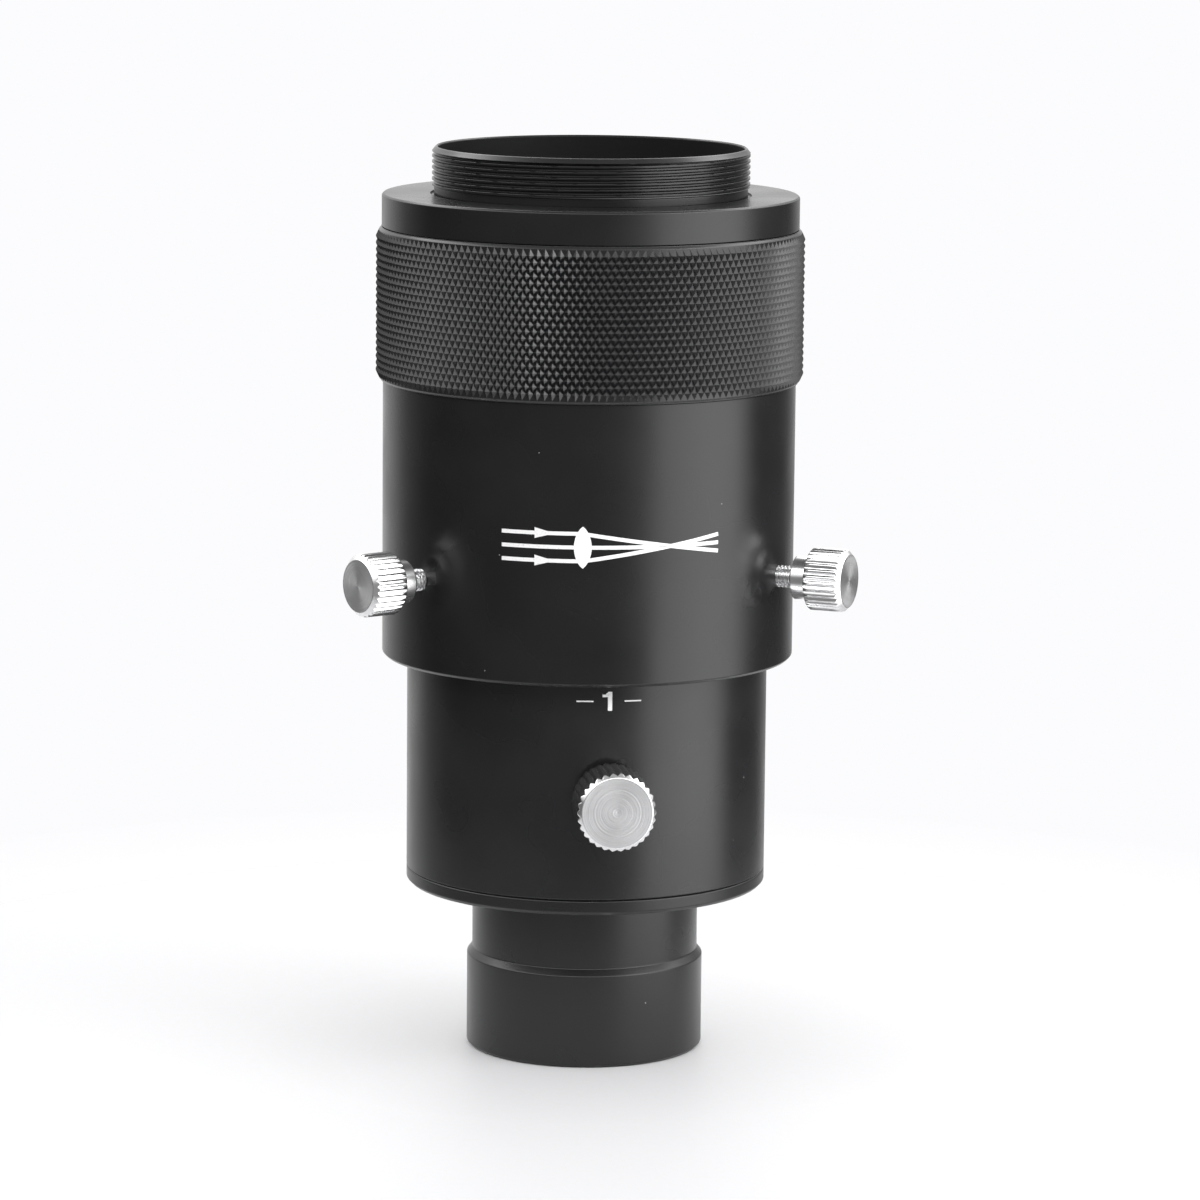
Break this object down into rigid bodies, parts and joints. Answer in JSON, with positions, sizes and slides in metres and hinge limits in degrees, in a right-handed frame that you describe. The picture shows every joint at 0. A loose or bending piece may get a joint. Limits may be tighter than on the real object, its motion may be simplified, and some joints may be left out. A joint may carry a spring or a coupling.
{
  "type": "telescope camera adapter",
  "caption": "Extending tube adapter with a nosepiece, clamp thumbscrews, an eyepiece socket, a knurled ring and a male camera thread.",
  "frame": {"origin": "centre of the nosepiece's lower edge, on the optical axis", "axes": "+Z along the optical axis towards the camera, -Y towards the eyepiece screw, +X to the right seen from that side"},
  "size_m": [0.0678, 0.0708, 0.1209],
  "materials": {
    "nosepiece_black": "satin black anodised, turned",
    "inner_black": "satin black anodised, turned",
    "socket_black": "matte black anodised",
    "outer_black": "satin black anodised, turned",
    "knurl_black": "black anodised, fine diamond knurl",
    "thread_black": "satin black anodised, turned, threaded",
    "bright_screw": "bright turned, fluted rim",
    "steel_stud": "bright threaded",
    "nylon": "natural white"
  },
  "bodies": {
    "nosepiece_group": {"nosepiece": "nosepiece_black", "inner_barrel": "inner_black", "eyepiece_socket": "socket_black"},
    "outer_barrel_group": {"outer_barrel": "outer_black"},
    "camera_ring_group": {"knurled_ring": "knurl_black", "thread_ring": "thread_black"},
    "clamp_left_tip_group": {"clamp_tip_left": "nylon"},
    "clamp_left_screw_group": {"clamp_head_left": "bright_screw", "clamp_stud_left": "steel_stud"},
    "clamp_right_tip_group": {"clamp_tip_right": "nylon"},
    "clamp_right_screw_group": {"clamp_head_right": "bright_screw", "clamp_stud_right": "steel_stud"},
    "clamp_rear_tip_group": {"clamp_tip_rear": "nylon"},
    "clamp_rear_screw_group": {"clamp_head_rear": "bright_screw", "clamp_stud_rear": "steel_stud"},
    "eyepiece_tip_group": {"eyepiece_tip": "nylon"},
    "eyepiece_screw_group": {"eyepiece_head": "bright_screw", "eyepiece_stud": "steel_stud"}
  },
  "joints": [
    {"name": "extension", "type": "slide", "parent": "nosepiece_group", "child": "outer_barrel_group", "axis": [0, 0, 1], "range_m": [0, 0.04]},
    {"name": "camera_ring_turn", "type": "hinge", "parent": "outer_barrel_group", "child": "camera_ring_group", "pos_m": [0, 0, 0.1], "axis": [0, 0, 1], "range_deg": [0, 360]},
    {"name": "clamp_left_travel", "type": "slide", "parent": "outer_barrel_group", "child": "clamp_left_tip_group", "axis": [-0.866, -0.5, 0], "range_m": [0, 0.0018]},
    {"name": "clamp_left_turn", "type": "hinge", "parent": "clamp_left_tip_group", "child": "clamp_left_screw_group", "pos_m": [-0.02598, -0.015, 0.0655], "axis": [-0.866, -0.5, 0], "range_deg": [0, 1260]},
    {"name": "clamp_right_travel", "type": "slide", "parent": "outer_barrel_group", "child": "clamp_right_tip_group", "axis": [0.866, -0.5, 0], "range_m": [0, 0.0018]},
    {"name": "clamp_right_turn", "type": "hinge", "parent": "clamp_right_tip_group", "child": "clamp_right_screw_group", "pos_m": [0.02598, -0.015, 0.0655], "axis": [0.866, -0.5, 0], "range_deg": [0, 1260]},
    {"name": "clamp_rear_travel", "type": "slide", "parent": "outer_barrel_group", "child": "clamp_rear_tip_group", "axis": [0, 1, 0], "range_m": [0, 0.0018]},
    {"name": "clamp_rear_turn", "type": "hinge", "parent": "clamp_rear_tip_group", "child": "clamp_rear_screw_group", "pos_m": [0, 0.03, 0.0655], "axis": [0, 1, 0], "range_deg": [0, 1260]},
    {"name": "eyepiece_travel", "type": "slide", "parent": "nosepiece_group", "child": "eyepiece_tip_group", "axis": [0, -1, 0], "range_m": [-0.00095, 0.00285]},
    {"name": "eyepiece_turn", "type": "hinge", "parent": "eyepiece_tip_group", "child": "eyepiece_screw_group", "pos_m": [0, -0.03, 0.0381], "axis": [0, -1, 0], "range_deg": [-480, 1440]}
  ],
  "couplings": [
    {"joint": "clamp_left_travel", "follows": "clamp_left_turn", "m_per_rad": 0.000079577},
    {"joint": "clamp_right_travel", "follows": "clamp_right_turn", "m_per_rad": 0.000079577},
    {"joint": "clamp_rear_travel", "follows": "clamp_rear_turn", "m_per_rad": 0.000079577},
    {"joint": "eyepiece_travel", "follows": "eyepiece_turn", "m_per_rad": 0.00011141}
  ]
}
